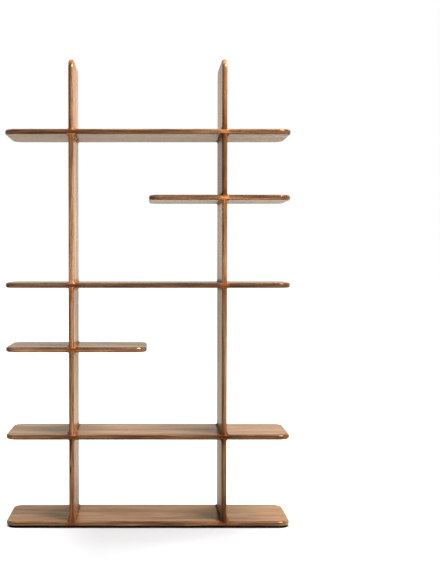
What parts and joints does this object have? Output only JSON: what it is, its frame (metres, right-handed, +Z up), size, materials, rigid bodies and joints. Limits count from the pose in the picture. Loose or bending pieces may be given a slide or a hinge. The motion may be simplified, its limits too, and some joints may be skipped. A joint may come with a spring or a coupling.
{
  "type": "spine bookshelf",
  "caption": "Open wooden bookshelf: long boards and half-length boards crossed by a pair of upright spines that rise above the top board, with rounded corners and coved, shaped crossings.",
  "frame": {"origin": "on the floor, under the centre of the base board", "axes": "+X to the right as seen from the front, -Y to the front, +Z up"},
  "size_m": [1.1, 0.3, 1.804],
  "materials": {
    "shelf_wood": "satin oiled walnut-brown hardwood, grain along the length",
    "blade_wood": "satin oiled walnut-brown hardwood, grain upright",
    "dowel_wood": "plain beech",
    "screw_steel": "zinc-plated",
    "glide_plastic": "dark matte plastic",
    "nail_steel": "bright steel"
  },
  "bodies": {
    "root": {"base_shelf": "shelf_wood", "lower_shelf": "shelf_wood", "lower_left_shelf": "shelf_wood", "middle_shelf": "shelf_wood", "upper_right_shelf": "shelf_wood", "top_shelf": "shelf_wood", "left_blade_1": "blade_wood", "left_blade_2": "blade_wood", "left_blade_3": "blade_wood", "left_blade_4": "blade_wood", "left_finial": "blade_wood", "right_blade_1": "blade_wood", "right_blade_2": "blade_wood", "right_blade_3": "blade_wood", "right_blade_4": "blade_wood", "right_finial": "blade_wood", "left_dowels_lower": "dowel_wood", "left_dowels_lower_left": "dowel_wood", "left_dowels_middle": "dowel_wood", "left_dowels_top": "dowel_wood", "right_dowels_lower": "dowel_wood", "right_dowels_middle": "dowel_wood", "right_dowels_upper_right": "dowel_wood", "right_dowels_top": "dowel_wood", "left_base_screws": "screw_steel", "right_base_screws": "screw_steel", "glides": "glide_plastic", "glide_nails": "nail_steel"}
  },
  "joints": []
}
